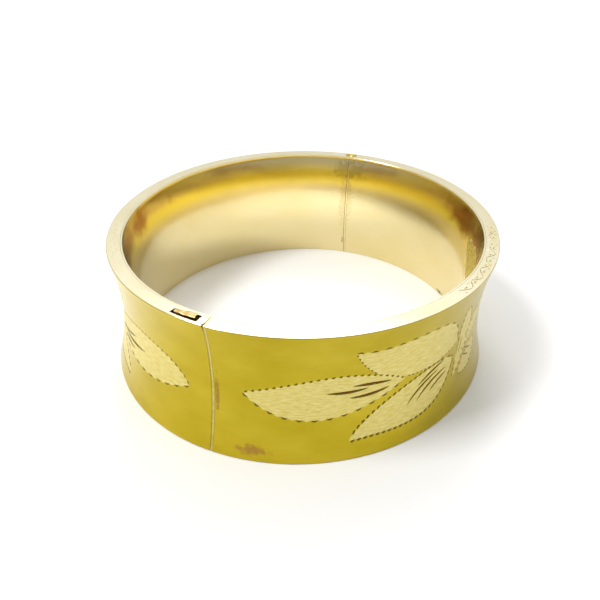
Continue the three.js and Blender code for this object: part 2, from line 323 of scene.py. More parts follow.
def bezier(start, first, second, end, count=160):
    t = np.linspace(0, 1, count)[:, None]
    p0, p1, p2, p3 = (np.array(p, float) for p in (start, first, second, end))
    return (1 - t) ** 3 * p0 + 3 * (1 - t) ** 2 * t * p1 + 3 * (1 - t) * t ** 2 * p2 + t ** 3 * p3


def walker(line):
    """A function that gives the place and the left-hand direction at a distance along a line."""
    steps = np.linalg.norm(np.diff(line, axis=0), axis=1)
    far = np.concatenate([[0], np.cumsum(steps)])
    heading = np.gradient(line, axis=0)
    heading /= np.linalg.norm(heading, axis=1, keepdims=True)

    def walk(distance):
        place = np.stack([np.interp(distance, far, line[:, k]) for k in (0, 1)], -1)
        ahead = np.stack([np.interp(distance, far, heading[:, k]) for k in (0, 1)], -1)
        return place, np.stack([-ahead[..., 1], ahead[..., 0]], -1)

    return walk, far[-1]


class Engraving:
    """The cuts and frosted leaves on one face of a half hoop."""

    def __init__(self, stretch):
        self.values, self.girths = stretch
        self.cuts = []
        self.leaves = []
        self.taken = np.zeros((0, 2))

    def on_sheet(self, points):
        """(along, up or inward) turned into (along, girth)."""
        points = np.asarray(points, float)
        girth = np.interp(points[:, 1], self.values, self.girths)
        return np.stack([points[:, 0], girth], -1)

    def cut(self, line, width, depth, room=0.16):
        """A groove down the line, tapering to both ends, unless another cut is in the way."""
        line = np.asarray(line, float)
        if len(self.taken) and np.linalg.norm(line[:, None] - self.taken[None], axis=2).min() < room:
            return
        self.taken = np.vstack([self.taken, line])
        share = np.linspace(0, 1, len(line))[1:-1]
        swell = np.sin(math.pi * share) ** 0.6
        ahead = np.gradient(line, axis=0)[1:-1]
        left = np.stack([-ahead[:, 1], ahead[:, 0]], -1)
        left *= (swell * width / 2 / np.linalg.norm(left, axis=1))[:, None]
        middle = line[1:-1]
        self.cuts.append({
            "rim": self.on_sheet(np.vstack([line[:1], middle + left, line[-1:], (middle - left)[::-1]])),
            "middle": self.on_sheet(middle),
            "depths": swell * depth,
            "tips": self.on_sheet(line[[0, -1]]),
        })

    def edge(self, line, style, outward):
        """Cuts one edge of a leaf, and returns the line that the frosting runs up to."""
        walk, length = walker(line)
        pitch, cover, width, depth, bulge, lean = style
        count = max(1, int(length / pitch))
        pitch = length / count
        frosting = []
        for index in range(count):
            share = np.linspace(-cover / 2, cover / 2, 7 if bulge else 4)
            place, left = walk((index + 0.5 + share) * pitch)
            side = outward * bulge * np.cos(math.pi * share / cover) + lean * share * pitch
            place = place + left * side[:, None]
            self.cut(place, width, depth)
            frosting.append(place)
        return np.vstack(frosting)

    def leaf(self, tip, base, lower, upper, lower_style, upper_style, outward):
        """A leaf from tip to base, with the handles of its two edges.

        outward is -1 where the lower edge's outside is on the right of the way from tip to base.
        """
        one = self.edge(bezier(tip, *lower, base), lower_style, outward)
        other = self.edge(bezier(tip, *upper, base), upper_style, -outward)
        self.leaves.append(self.on_sheet(np.vstack([[tip], one, [base], other[::-1]])))


# An edge's style: pitch, share of the pitch that is cut, width, depth, outward bulge, lean of each cut
DASHES = (1.0, 0.60, 0.36, 0.09, 0, 0.22)
FINE_DASHES = (0.8, 0.55, 0.27, 0.08, 0, 0.15)
SCALLOPS = (1.05, 0.94, 0.31, 0.09, 0.19, 0)
BOLD = (0.95, 0.80, 0.38, 0.10, 0.13, 0.12)
LIP = (1.6, 0.97, 0.52, 0.05, 0, 0)


CURVE_POINTS = 13


def curve(start, bend, end):
    """A smooth line from start to end that leans towards bend."""
    t = np.linspace(0, 1, CURVE_POINTS)[:, None]
    a, b, c = (np.array(p, float) for p in (start, bend, end))
    return (1 - t) ** 2 * a + 2 * (1 - t) * t * b + t ** 2 * c


def spray_cuts(clasp_leaf):
    """The bright graver cuts of one spray: (start, bend, end, width, depth)."""
    slanting = [
        ((14.0, 9.9), (18.6, 9.2), (22.6, 9.2), 0.48, 0.16),
        ((17.0, 11.0), (21.6, 9.6), (26.8, 8.5), 0.50, 0.16),
        ((18.0, 8.3), (20.6, 8.2), (23.4, 8.3), 0.42, 0.15),
    ]
    level = [
        ((16.2, 11.0), (19.2, 10.6), (22.6, 11.0), 0.50, 0.16),
        ((20.0, 11.7), (23.0, 11.6), (26.3, 11.2), 0.50, 0.16),
        ((19.6, 9.8), (22.8, 9.6), (26.0, 10.3), 0.50, 0.16),
    ]
    return (slanting if clasp_leaf == "deep" else level) + [
        ((29.2, 5.6), (31.7, 8.4), (35.9, 9.1), 0.42, 0.15),
        ((31.3, 8.1), (33.6, 9.7), (37.4, 10.2), 0.42, 0.15),
        ((31.1, 5.6), (33.8, 8.3), (37.9, 8.6), 0.42, 0.15),
        ((33.9, 6.1), (35.5, 7.3), (38.2, 7.8), 0.36, 0.14),
        ((40.9, 8.9), (41.0, 10.8), (41.4, 12.4), 0.32, 0.14),
        ((41.7, 8.9), (42.1, 10.4), (42.3, 11.8), 0.32, 0.14),
        ((43.4, 7.9), (44.9, 6.9), (46.2, 6.5), 0.32, 0.14),
        ((43.9, 8.8), (45.6, 7.8), (47.0, 7.4), 0.32, 0.14),
    ]


def spray_leaves(middle, clasp_leaf):
    """The leaves of one spray: (tip, base, lower handles, upper handles, lower style, upper style).

    It reaches from the clasp side to the middle of the half.
    """
    low_leaf = ((4.6, 10.8), (28.6, 10.8), ((11.0, 4.0), (21.4, 7.0)), ((13.6, 13.2), (18.8, 15.8)),
                SCALLOPS, DASHES)
    deep_leaf = ((4.0, 9.1), (28.8, 9.4), ((8.4, 7.4), (14.4, 4.6)), ((6.2, 14.4), (18.4, 15.6)),
                 SCALLOPS, DASHES)
    return [
        deep_leaf if clasp_leaf == "deep" else low_leaf,
        ((19.8, 2.8), (39.8, 9.3), ((26.7, 3.7), (36.9, 0.8)), ((22.4, 7.9), (35.0, 12.6)), BOLD, BOLD),
        ((20.0, 17.4), (40.2, 11.6), ((23.6, 9.6), (34.3, 9.8)), ((26.5, 15.8), (39.6, 20.8)),
         FINE_DASHES, SCALLOPS),
        ((41.7, 17.5), (40.0, 5.4), ((40.7, 14.0), (41.4, 9.0)), ((47.6, 13.0), (43.4, 7.0)), BOLD, DASHES),
        ((middle - 0.8, 14.8), (42.4, 9.2), ((middle - 2.0, 10.0), (45.4, 9.6)),
         ((middle - 4.0, 16.8), (46.0, 14.8)), FINE_DASHES, SCALLOPS),
        ((middle - 3.0, 8.4), (41.6, 5.4), ((middle - 2.4, 4.6), (44.6, 3.4)),
         ((middle - 5.0, 9.6), (44.0, 8.0)), DASHES, DASHES),
    ]


def engrave_wall(section, half):
    """Two leaf sprays, the second a mirror image of the first about the middle of the half."""
    work = Engraving(section.stretch("wall"))
    for mirrored in (False, True):
        clasp_leaf = "deep" if half is BACK and not mirrored else "low"

        def placed(point):
            return (2 * half.middle - point[0], point[1]) if mirrored else point

        for start, bend, end, width, depth in spray_cuts(clasp_leaf):
            work.cut(curve(placed(start), placed(bend), placed(end)), width, depth)
        for tip, base, lower, upper, *styles in spray_leaves(half.middle, clasp_leaf):
            handles = [[placed(p) for p in lower], [placed(p) for p in upper]]
            work.leaf(placed(tip), placed(base), *handles, *styles, outward=1 if mirrored else -1)
    if half is FRONT:
        work.cut([(0.62, up) for up in np.linspace(6.6, 12.4, 9)], 0.10, 0.05)
    return work


def engrave_rim(section, half):
    """A running scroll on the front half's top rim; the back half has only a few faint ticks."""
    work = Engraving(section.stretch("rim"))
    if half is BACK:
        for index in range(12):
            inward = 0.75 + 0.7 * ((index * 7) % 5) / 4
            tick = [(24 + index + 0.14 * k, inward + 0.06 * k * (-1) ** index) for k in range(4)]
            work.cut(tick, 0.12, 0.04)
        return work
    reach, spacing, middle_line = 12.8, 2.0, 1.15
    places = half.middle - reach + spacing * np.arange(int(2 * reach / spacing))
    for index, centre in enumerate(places + 0.3 * np.sin(2.1 * np.arange(len(places)))):
        side = 1 if index % 2 else -1
        rise = 0.5 + 0.12 * math.sin(3.3 * index)
        stem = bezier((centre - 1.1, middle_line - rise * side), (centre - 0.3, middle_line - rise * side),
                      (centre + 0.1, middle_line + 0.6 * side), (centre + 1.3, middle_line + rise * side), 9)
        work.cut(stem, 0.20, 0.06, room=0.1)
        turn = np.radians(np.linspace(-150, 120, 9))
        curl_along = centre + 0.6 + 0.36 * np.sin(turn)
        curl_inward = middle_line - side * (0.36 - 0.26 * np.cos(turn))
        work.cut(np.stack([curl_along, curl_inward], -1), 0.18, 0.06, room=0.12)
        for hop in (-0.75, -0.35, 0.1)[:1 + index % 3]:
            tick = [(centre + hop + 0.12 * k, middle_line + side * (0.30 + 0.13 * k)) for k in range(4)]
            work.cut(tick, 0.15, 0.06, room=0.2)
    return work


VENT_ALONG = FRONT.middle - 4.2              # the vent that the CAD has in the front lining
VENT_UP = 3.0
VENT_RADIUS = 0.45
VENT_DEPTH = 0.25                            # just less than the sheet is thick
DARK_MARK_ALONG = 76.7                       # a small dark mark at the front lining's lower edge


def engrave_liner(section, half):
    """The front half's lining has the vent, and one pointed leaf with bright edges."""
    work = Engraving(section.stretch("wall"))
    if half is FRONT:
        across = np.linspace(-VENT_RADIUS, VENT_RADIUS, 11)
        work.cut([(VENT_ALONG + t, VENT_UP) for t in across], 2 * VENT_RADIUS, VENT_DEPTH)
        work.leaf((67.2, 16.9), (52.0, 10.2), ((63.8, 14.6), (64.2, 6.6)), ((62.2, 17.0), (54.0, 20.2)),
                  LIP, LIP, outward=1)
    return work


# ---------------------------------------------------------------- making a hoop

def spaced(start, end, step):
    """Places along a half: even ones, with closer ones where the ends are rounded off.

    A piece shorter than two end cells, such as an end plate, gets places past both its ends.
    """
    near = END_RADIUS * np.array([0, 0.3, 1])
    inner = np.linspace(start + END_CELL, end - END_CELL, max(2, int((end - start) / step)))
    return np.concatenate([start + near, inner, (end - near)[::-1]])


def plain_points(columns, section, slot, taken):
    """Points of the plain mesh as {(column, row): (along, girth)}, clear of the slot and the cuts."""
    points = {}
    for row, girth in enumerate(section.girths):
        for column, along in enumerate(columns):
            points[column, row] = (along, girth)
    free = [key for key in points if not section.creases[key[1]] and 0 < key[0] < len(columns) - 1]
    if slot:
        inside = [k for k in points if slot.covers(*points[k])]
        for key in inside:
            del points[key]
        free = [key for key in free if key in points]
    if len(taken) and free:
        places = np.array([points[key] for key in free])
        for start in range(0, len(places), 500):
            block = places[start:start + 500]
            close = np.abs(block[:, None] - taken[None]).sum(2).min(1) < GROOVE_ROOM * 1.3
            for key, near in zip(free[start:start + 500], close):
                if near:
                    del points[key]
    return points


class Slot:
    """A hole through the top rim, between a straight outer edge and a curved inner one."""

    MARGIN = 0.04

    def __init__(self, section, alongs, outer, inner):
        values, girths = section.stretch("rim")
        under_end = section.girths[section.marks["rim end"] + 1]
        self.columns = np.asarray(alongs)
        self.outline = [(along, outer) for along in alongs] + list(zip(alongs, inner))[::-1]
        self.top = [(along, float(np.interp(inward, values, girths))) for along, inward in self.outline]
        self.under = [(along, under_end + FLANGE_END - inward) for along, inward in self.outline]
        self.left, self.right = min(alongs), max(alongs)

    def covers(self, along, girth):
        if not self.left - self.MARGIN < along < self.right + self.MARGIN:
            return False
        count = len(self.columns)
        for ring in (self.top, self.under):
            far = np.interp(along, self.columns, [g for _, g in ring[:count]])
            near = np.interp(along, self.columns, [g for _, g in ring[count:][::-1]])
            if min(far, near) - self.MARGIN < girth < max(far, near) + self.MARGIN:
                return True
        return False


class SheetPlan:
    """The flat plan of a hoop: points as (along, girth) with a depth, and the lines and areas between."""

    def __init__(self):
        self.points = []
        self.depths = []
        self.lines = []
        self.areas = []
        self.kinds = []

    def add(self, points, depths=None):
        first = len(self.points)
        self.points += [tuple(p) for p in points]
        self.depths += [0.0] * len(points) if depths is None else list(depths)
        return list(range(first, len(self.points)))

    def chain(self, indices):
        self.lines += list(zip(indices[:-1], indices[1:]))

    def area(self, indices, kind):
        """An area whose outline runs anticlockwise, as the triangulation needs."""
        x, y = np.array([self.points[i] for i in indices]).T
        anticlockwise = (x * np.roll(y, -1) - y * np.roll(x, -1)).sum() > 0
        self.areas.append(indices if anticlockwise else indices[::-1])
        self.kinds.append(kind)

    def engrave(self, work):
        for cut in work.cuts:
            rim = self.add(cut["rim"])
            middle = self.add(cut["middle"], cut["depths"])
            self.area(rim, "cut")
            self.chain([rim[0], *middle, rim[len(middle) + 1]])
        for leaf in work.leaves:
            self.area(self.add(leaf), "leaf")

    def triangulate(self):
        """Triangles as (points, depths, triangles, kind of each triangle)."""
        merge = 1e-4
        result = delaunay_2d_cdt([Vector(p) for p in self.points], self.lines, self.areas, 0, merge, True)
        places, _, faces, sources, _, origins = result
        depths = np.array([max((self.depths[i] for i in source), default=0.0) for source in sources])
        kinds = []
        for origin in origins:
            names = {self.kinds[i] for i in origin if i < len(self.kinds)}
            kinds.append("hole" if "hole" in names else "cut" if "cut" in names
                         else "leaf" if "leaf" in names else "plain")
        return np.array([tuple(p) for p in places]), depths, [list(f) for f in faces], kinds


def end_inward(distance):
    """How far a surface draws in at a distance from a rounded end."""
    left = np.clip(END_RADIUS - distance, 0, END_RADIUS)
    return END_RADIUS - np.sqrt(np.maximum(END_RADIUS ** 2 - left ** 2, 0))


class Hoop:
    """A length of a half hoop of one section, between a plane at the clasp end and one at the hinge end."""

    def __init__(self, half, section, clasp_x, hinge_x, notch=0.0):
        self.half = half
        self.section = section
        self.clasp_x = clasp_x
        self.hinge_x = hinge_x
        self.notch = notch
        zero = np.zeros(1)
        self.start_angle = half.end_angle(clasp_x, zero, False)[0]
        self.end_angle = half.end_angle(hinge_x, zero, True)[0]
        order = np.argsort(half.angles)
        lengths = np.interp([self.start_angle, self.end_angle], half.angles[order], half.lengths[order])
        self.start, self.end = lengths

    def clasp_plane(self, inward, up):
        """x of the clasp end, with a worn notch at the rim's outer corner."""
        worn = np.clip(1 - inward / 1.2, 0, 1) * np.clip(up - (HEIGHT - 1), 0, 1)
        return self.clasp_x + self.half.direction * self.notch * worn

    def hinge_plane(self, inward):
        """x of the hinge end, which follows the channel for the barrel."""
        side = self.half.direction
        reach = np.maximum(abs(self.hinge_x - SEAM_X), channel_half_width(inward))
        return SEAM_X + side * reach

    def shape(self, along, girth, depth):
        """Points in space, with the surface's outward normal at each."""
        place, normal = self.section.at(girth)
        inward, up = place[:, 0], place[:, 1]
        reach = min(4.0, (self.end - self.start) / 2)
        to_clasp = np.clip(1 - (along - self.start) / reach, 0, 1)
        to_hinge = np.clip(1 - (self.end - along) / reach, 0, 1)
        clasp_shift = self.half.end_angle(self.clasp_plane(inward, up), inward, False) - self.start_angle
        hinge_shift = self.half.end_angle(self.hinge_plane(inward), inward, True) - self.end_angle
        angle = self.half.angle(along) + to_clasp * clasp_shift + to_hinge * hinge_shift
        return self.wrapped(angle, place, normal, along, depth)

    def wrapped(self, angle, place, normal, along, depth):
        """Section places put round the oval, sunk by their depths and by the rounding of the ends."""
        plan, away = oval(angle, place[:, 0])
        points = np.column_stack([plan, place[:, 1]])
        normals = np.column_stack([-normal[:, :1] * away, normal[:, 1]])
        near_end = np.minimum(along - self.start, self.end - along)
        sunk = depth + end_inward(near_end)
        return points - sunk[:, None] * normals, normals


def cap_triangles(section, indices):
    """Triangles that close the end of a hoop, from the section's rows."""
    outline = [Vector((p[0], p[1], 0)) for p in section.points[:len(indices)]]
    return [[indices[i] for i in triangle] for triangle in tessellate_polygon([outline])]


def build_hoop(name, hoop, works=(), slot=None, step=ALONG_STEP):
    """Makes a hoop's mesh: its flat plan is triangulated round the engraving, then wrapped and closed."""
    section = hoop.section
    columns = spaced(hoop.start, hoop.end, step)
    if slot:
        columns = columns[(columns < slot.left - 0.3) | (columns > slot.right + 0.3)]
        columns = np.sort(np.concatenate([columns, slot.columns]))
    plan = SheetPlan()
    taken = np.vstack([cut["rim"] for work in works for cut in work.cuts] or [np.zeros((0, 2))])
    wrapped = Section()
    wrapped.girths = np.append(section.girths, section.girth)
    wrapped.creases = [*section.creases, True]
    wrapped.creases[0] = True
    points = plain_points(columns, wrapped, slot, taken)
    keys = list(points)
    index = dict(zip(keys, plan.add([points[key] for key in keys])))
    last_row, last_column = len(wrapped.girths) - 1, len(columns) - 1
    for row, crease in enumerate(wrapped.creases):
        line = [index.get((column, row)) for column in range(len(columns))]
        if crease:
            plan.lines += [(a, b) for a, b in zip(line[:-1], line[1:]) if a is not None and b is not None]
    for column in (0, last_column):
        plan.chain([index[column, row] for row in range(last_row + 1)])
    if slot:
        plan.area(plan.add(slot.top), "hole")
        plan.area(plan.add(slot.under), "hole")
    for work in works:
        plan.engrave(work)
    places, depths, triangles, kinds = plan.triangulate()
    kept = [k != "hole" for k in kinds]
    triangles = [t for t, keep in zip(triangles, kept) if keep]
    kinds = [k for k, keep in zip(kinds, kept) if keep]
    finder = {(round(x, 3), round(y, 3)): i for i, (x, y) in enumerate(places)}

    def found(along, girth):
        return finder[round(along, 3), round(girth, 3)]

    for column in (0, last_column):
        ring = [found(columns[column], girth) for girth in section.girths]
        triangles += cap_triangles(section, ring)
        kinds += ["plain"] * (len(triangles) - len(kinds))
    if slot:
        upper = [found(*place) for place in slot.top]
        lower = [found(*place) for place in slot.under]
        for i in range(len(upper)):
            triangles += [[upper[i - 1], upper[i], lower[i]], [upper[i - 1], lower[i], lower[i - 1]]]
        kinds += ["slot"] * (len(triangles) - len(kinds))
    return finish_mesh(name, hoop, places, depths, np.array(triangles), kinds)


def new_object(name, data):
    thing = bpy.data.objects.new(name, data)
    bpy.context.scene.collection.objects.link(thing)
    return thing


FINISHES = ("plain", "leaf", "cut", "rim", "slot", "rim cut")   # the material slots of a hoop
SMOOTH_ANGLE = math.radians(32)             # a corner this far off its face's direction is left flat
# Faces that look up at least this far get the pale rim gold, which is a painted highlight.
RIM_FACING = 0.4                            # how far up a face of the top rim looks, at least


def finish_mesh(name, hoop, places, depths, triangles, kinds):
    """Wraps the flat plan round the oval, joins it up, and gives it exact normals and its finishes."""
    section = hoop.section
    points, normals = hoop.shape(places[:, 0], places[:, 1], depths)
    merged = {}
    first_of = np.arange(len(places))
    for i, (along, girth) in enumerate(places):
        key = (round(along, 3), round(girth % section.girth if girth < section.girth - 1e-4 else 0, 3))
        first_of[i] = merged.setdefault(key, i)
    triangles = first_of[triangles]
    whole = np.array([len(set(triangle)) == 3 for triangle in triangles.tolist()])
    triangles = triangles[whole]
    kinds = [kind for kind, keep in zip(kinds, whole) if keep]
    corners = points[triangles]
    volume = np.einsum("ij,ij->i", corners[:, 0], np.cross(corners[:, 1], corners[:, 2])).sum()
    if volume < 0:
        triangles = triangles[:, ::-1]
    used, flat = np.unique(triangles, return_inverse=True)
    triangles = flat.reshape(triangles.shape)
    points, normals, places, depths = points[used], normals[used], places[used], depths[used]
    mesh = bpy.data.meshes.new(name)
    mesh.from_pydata((points * MM).tolist(), [], triangles.tolist())
    slots = np.array([FINISHES.index(k) for k in kinds])
    facing = np.cross(points[triangles[:, 1]] - points[triangles[:, 0]],
                      points[triangles[:, 2]] - points[triangles[:, 0]])
    facing /= np.maximum(np.linalg.norm(facing, axis=1, keepdims=True), 1e-12)
    smooth = normals[triangles]
    agree = np.einsum("ijk,ik->ij", smooth, facing) > math.cos(SMOOTH_ANGLE)
    agree &= (slots != FINISHES.index("cut"))[:, None]
    loops = np.where(agree[:, :, None], smooth, facing[:, None, :])
    # Faces that look up, on the top rim and its rounded edges, get the pale rim gold: a painted highlight.
    on_rim = normals[triangles][:, :, 2].min(1) > RIM_FACING
    slots[on_rim & (slots == FINISHES.index("plain")) & agree.all(1)] = FINISHES.index("rim")
    slots[on_rim & (slots == FINISHES.index("cut"))] = FINISHES.index("rim cut")
    mesh.polygons.foreach_set("material_index", slots.astype(np.int32))
    mesh.polygons.foreach_set("use_smooth", np.ones(len(triangles), bool))
    around = mesh.attributes.new("around", "FLOAT_VECTOR", "POINT")
    signed = np.column_stack([places * [hoop.half.direction, 1], np.zeros(len(places))])
    around.data.foreach_set("vector", signed.astype(np.float32).ravel())
    sunk = mesh.attributes.new("sunk", "FLOAT", "POINT")
    sunk.data.foreach_set("value", depths.astype(np.float32))
    mesh.update()
    mesh.normals_split_custom_set(loops.reshape(-1, 3).tolist())
    return new_object(name, mesh)


# ---------------------------------------------------------------- finishes

class Nodes:
    """A short way to write a node tree."""

    def __init__(self, tree):
        self.tree = tree

    @classmethod
    def of_material(cls, name):
        material = bpy.data.materials.new(name)
        material.use_nodes = True
        nodes = cls(material.node_tree)
        nodes.material = material
        nodes.shader = nodes.tree.nodes["Principled BSDF"]
        return nodes

    @classmethod
    def of_world(cls, world):
        world.use_nodes = True
        nodes = cls(world.node_tree)
        nodes.shader = nodes.tree.nodes["Background"]
        return nodes

    def put(self, socket, value):
        """Gives an input a value, or links another node's output to it."""
        if isinstance(value, bpy.types.NodeSocket):
            self.tree.links.new(value, socket)
        else:
            socket.default_value = value

    def shade(self, name, value):
        self.put(self.shader.inputs[name], value)

    def add(self, kind, inputs=None, **settings):
        node = self.tree.nodes.new(kind)
        for key, value in settings.items():
            setattr(node, key, value)
        for key, value in (inputs or {}).items():
            self.put(node.inputs[key], value)
        return node

    def vector(self, operation, inputs, output="Vector"):
        return self.add("ShaderNodeVectorMath", inputs, operation=operation).outputs[output]

    def bump(self, strength, distance, height):
        inputs = {"Strength": strength, "Distance": distance, "Height": height}
        self.shade("Normal", self.add("ShaderNodeBump", inputs).outputs[0])

    def math(self, operation, a, b=0.0):
        return self.add("ShaderNodeMath", {0: a, 1: b}, operation=operation).outputs[0]

    def mix(self, share, a, b):
        node = self.add("ShaderNodeMix", data_type="RGBA")
        for socket, value in ((0, share), (6, a), (7, b)):
            self.put(node.inputs[socket], value)
        return node.outputs[2]

    def spread(self, value, low, high, to_low=0.0, to_high=1.0):
        return self.add("ShaderNodeMapRange", {
            "Value": value, "From Min": low, "From Max": high, "To Min": to_low, "To Max": to_high,
        }, clamp=True).outputs[0]

    def noise(self, vector, scale, detail=2.0, roughness=0.5):
        return self.add("ShaderNodeTexNoise", {
            "Vector": vector, "Scale": scale, "Detail": detail, "Roughness": roughness,
        }).outputs["Fac"]


def rgb(*levels):
    return (*levels, 1.0)


def around_place(nodes):
    """The place on the hoop, in millimetres round it and up it."""
    return nodes.add("ShaderNodeAttribute", attribute_name="around").outputs["Vector"]


def object_place(nodes):
    """The place in space, in millimetres."""
    place = nodes.add("ShaderNodeTexCoord").outputs["Object"]
    return nodes.vector("SCALE", {0: place, 3: 1 / MM})


def stretched(nodes, place, along, up):
    return nodes.vector("MULTIPLY", {0: place, 1: (along, up, 1)})


PATCH_CORE = 0.4                            # share of a patch's size within which it is full


def blotch(nodes, place, centre, size):
    """A ragged patch, used for each stain and for painted shade and reflections: 1 at its middle, 0 outside.
    """
    offset = nodes.vector("SUBTRACT", {0: place, 1: (*centre, 0)})
    scaled = stretched(nodes, offset, 1 / size[0], 1 / size[1])
    distance = nodes.vector("LENGTH", {0: scaled}, "Value")
    patch = nodes.noise(place, min(1.3, 3 / size[0]), 3)
    ragged = nodes.math("ADD", distance, nodes.spread(patch, 0.3, 0.7, -0.5, 0.5))
    return nodes.spread(ragged, 1.0, PATCH_CORE)


def polished(name, pale, deep, roughness, place_of=around_place, stains_and_painted_light=(), streak=0.06, reflection_bands=()):
    """Worn polished gold: slow changes of tone, fine wiping marks round the hoop, stain patches, painted
    shade, and painted reflections as patches or stripes.
    """
    nodes = Nodes.of_material(name)
    place = place_of(nodes)
    tone = nodes.spread(nodes.noise(stretched(nodes, place, 0.09, 0.16), 1.0, 3), 0.32, 0.68)
    marks = nodes.noise(stretched(nodes, place, 0.35, 7.0), 1.0, 4, 0.6)
    colour = nodes.mix(tone, rgb(*deep), rgb(*pale))
    colour = nodes.mix(nodes.spread(marks, 0.35, 0.7, 0, 0.16), colour, rgb(*[c * 0.72 for c in deep]))
    girth = nodes.add("ShaderNodeSeparateXYZ", {0: place}).outputs["Y"]
    # Each stripe is a painted reflection, laid round the hoop between four girths.
    for (start, full, fading, end), strength, tint in reflection_bands:
        inside = nodes.math("MULTIPLY", nodes.spread(girth, start, full), nodes.spread(girth, end, fading))
        colour = nodes.mix(nodes.math("MULTIPLY", inside, strength), colour, rgb(*tint))
    for centre, size, strength, tint in stains_and_painted_light:
        mask = nodes.math("MULTIPLY", blotch(nodes, place, centre, size), strength)
        colour = nodes.mix(mask, colour, rgb(*tint))
    nodes.shade("Base Color", colour)
    nodes.shade("Metallic", 1.0)
    nodes.shade("Roughness", nodes.spread(marks, 0.3, 0.7, roughness * 0.8, roughness * 1.35))
    nodes.bump(streak, 0.02 * MM, marks)
    return nodes.material


def frosted(name, pale, deep, roughness, grain=26.0, depth=0.35):
    """Gold frosted with fine graver strokes: brighter and softer than the polished ground."""
    nodes = Nodes.of_material(name)
    place = around_place(nodes)
    strokes = nodes.noise(stretched(nodes, place, 0.5, 3.2), 1.4, 3, 0.65)
    pits = nodes.noise(place, grain / 4, 2, 0.7)
    tone = nodes.spread(strokes, 0.35, 0.65)
    nodes.shade("Base Color", nodes.mix(tone, rgb(*deep), rgb(*pale)))
    nodes.shade("Metallic", 1.0)
    nodes.shade("Roughness", nodes.spread(pits, 0.3, 0.7, roughness * 0.85, roughness * 1.2))
    height = nodes.math("ADD", nodes.math("MULTIPLY", strokes, 0.7), nodes.math("MULTIPLY", pits, 0.3))
    nodes.bump(depth, 0.03 * MM, height)
    return nodes.material


def cut_gold(name, lip, bottom, deepest):
    """The inside of a graver cut: gold at the lip, darker at the bottom, and darkest in the deepest cuts. The
    darkening with depth is painted shade and painted reflection in the groove, with some tarnish and dirt.
    """
    nodes = Nodes.of_material(name)
    sunk = nodes.add("ShaderNodeAttribute", attribute_name="sunk").outputs["Fac"]
    grime = nodes.noise(around_place(nodes), 2.5, 3)
    depth = nodes.math("ADD", nodes.spread(sunk, 0.0, 0.016), nodes.spread(grime, 0.3, 0.7, -0.2, 0.2))
    # The colour darkens with depth: painted shade and painted reflection in the groove.
    worn = nodes.mix(nodes.spread(depth, 0.05, 0.85), rgb(*lip), rgb(*bottom))
    colour = nodes.mix(nodes.spread(sunk, 0.08, 0.12), worn, rgb(*deepest))
    nodes.shade("Base Color", colour)
    nodes.shade("Metallic", 1.0)
    nodes.shade("Roughness", nodes.spread(grime, 0.3, 0.7, 0.22, 0.4))
    return nodes.material


GOLD_PALE = (0.585, 0.455, 0.036)
GOLD_DEEP = (0.480, 0.365, 0.016)
LEAF_PALE = (0.77, 0.665, 0.27)
LEAF_DEEP = (0.62, 0.510, 0.12)
# The rim gold is far paler than the wall's gold: a painted highlight for the faces that look up.
RIM_HIGHLIGHT_PALE = (0.93, 0.86, 0.62)
RIM_HIGHLIGHT_DEEP = (0.86, 0.77, 0.48)
# Darker gold for the bottoms of the rim's cuts: painted shade in the grooves.
RIM_CUT = (0.52, 0.43, 0.16)
LINER_PALE = (0.86, 0.745, 0.43)
LINER_DEEP = (0.82, 0.700, 0.36)
# Red-brown for the deepest cuts: tarnish together with painted shade and reflection in the grooves. It also
# marks the lining by the hinge.
TARNISH_AND_SHADE = (0.27, 0.055, 0.012)
# Red-brown: a painted reflection high on the lining.
RED_BROWN_REFLECTION = (0.42, 0.15, 0.02)
# Olive for the bottoms of the wall's cuts: dirt together with painted shade in the grooves.
OLIVE_GRIME_AND_SHADE = (0.25, 0.19, 0.025)
# Brown: a stain low by the clasp, and painted shade in a thin strip beside the clasp seam.
STAIN_AND_SEAM_SHADE = (0.34, 0.17, 0.045)
OLIVE = (0.30, 0.24, 0.06)
# Near-black: a dark mark at the lining's lower edge, and painted shade at the bottom of the vent pit.
DARK_MARK_AND_PIT_SHADE = (0.04, 0.02, 0.01)


def dress(piece, materials):
    for material in materials:
        piece.data.materials.append(material)


def dress_hoop(piece, name, pale, deep, roughness, stains_and_painted_light, leaf=None, cuts=None, reflection_bands=()):
    ground = polished(name + "_ground", pale, deep, roughness, stains_and_painted_light=stains_and_painted_light, reflection_bands=reflection_bands)
    frosting = leaf or frosted(name + "_leaf", LEAF_PALE, LEAF_DEEP, 0.36, depth=0.12)
    # The cuts darken towards their bottoms, with a darkened lip: painted shade and painted reflection in the
    # grooves, with tarnish and dirt.
    cuts = cuts or cut_gold(name + "_cuts", [c * 0.6 for c in pale], OLIVE_GRIME_AND_SHADE, TARNISH_AND_SHADE)
    # The pale rim gold: a painted highlight on the faces that look up.
    rim = polished(name + "_rim", RIM_HIGHLIGHT_PALE, RIM_HIGHLIGHT_DEEP, 0.16, streak=0.04)
    # The walls of the slot for the knob are near-black: painted shade inside the slot.
    grime = polished(name + "_slot_grime", (0.20, 0.05, 0.012), (0.10, 0.022, 0.006), 0.4)
    # The rim's cuts darken towards their bottoms: painted shade in the grooves.
    rim_cuts = cut_gold(name + "_rim_cuts", [c * 0.8 for c in RIM_HIGHLIGHT_DEEP], RIM_CUT, RIM_CUT)
    dress(piece, [ground, frosting, cuts, rim, grime, rim_cuts])


# ---------------------------------------------------------------- the hoops

def end_plane(half):
    """x of the plane at which a half's sheets end."""
    return PLATE_HIGH.x + SOLDER if half is FRONT else SEAM_BACK


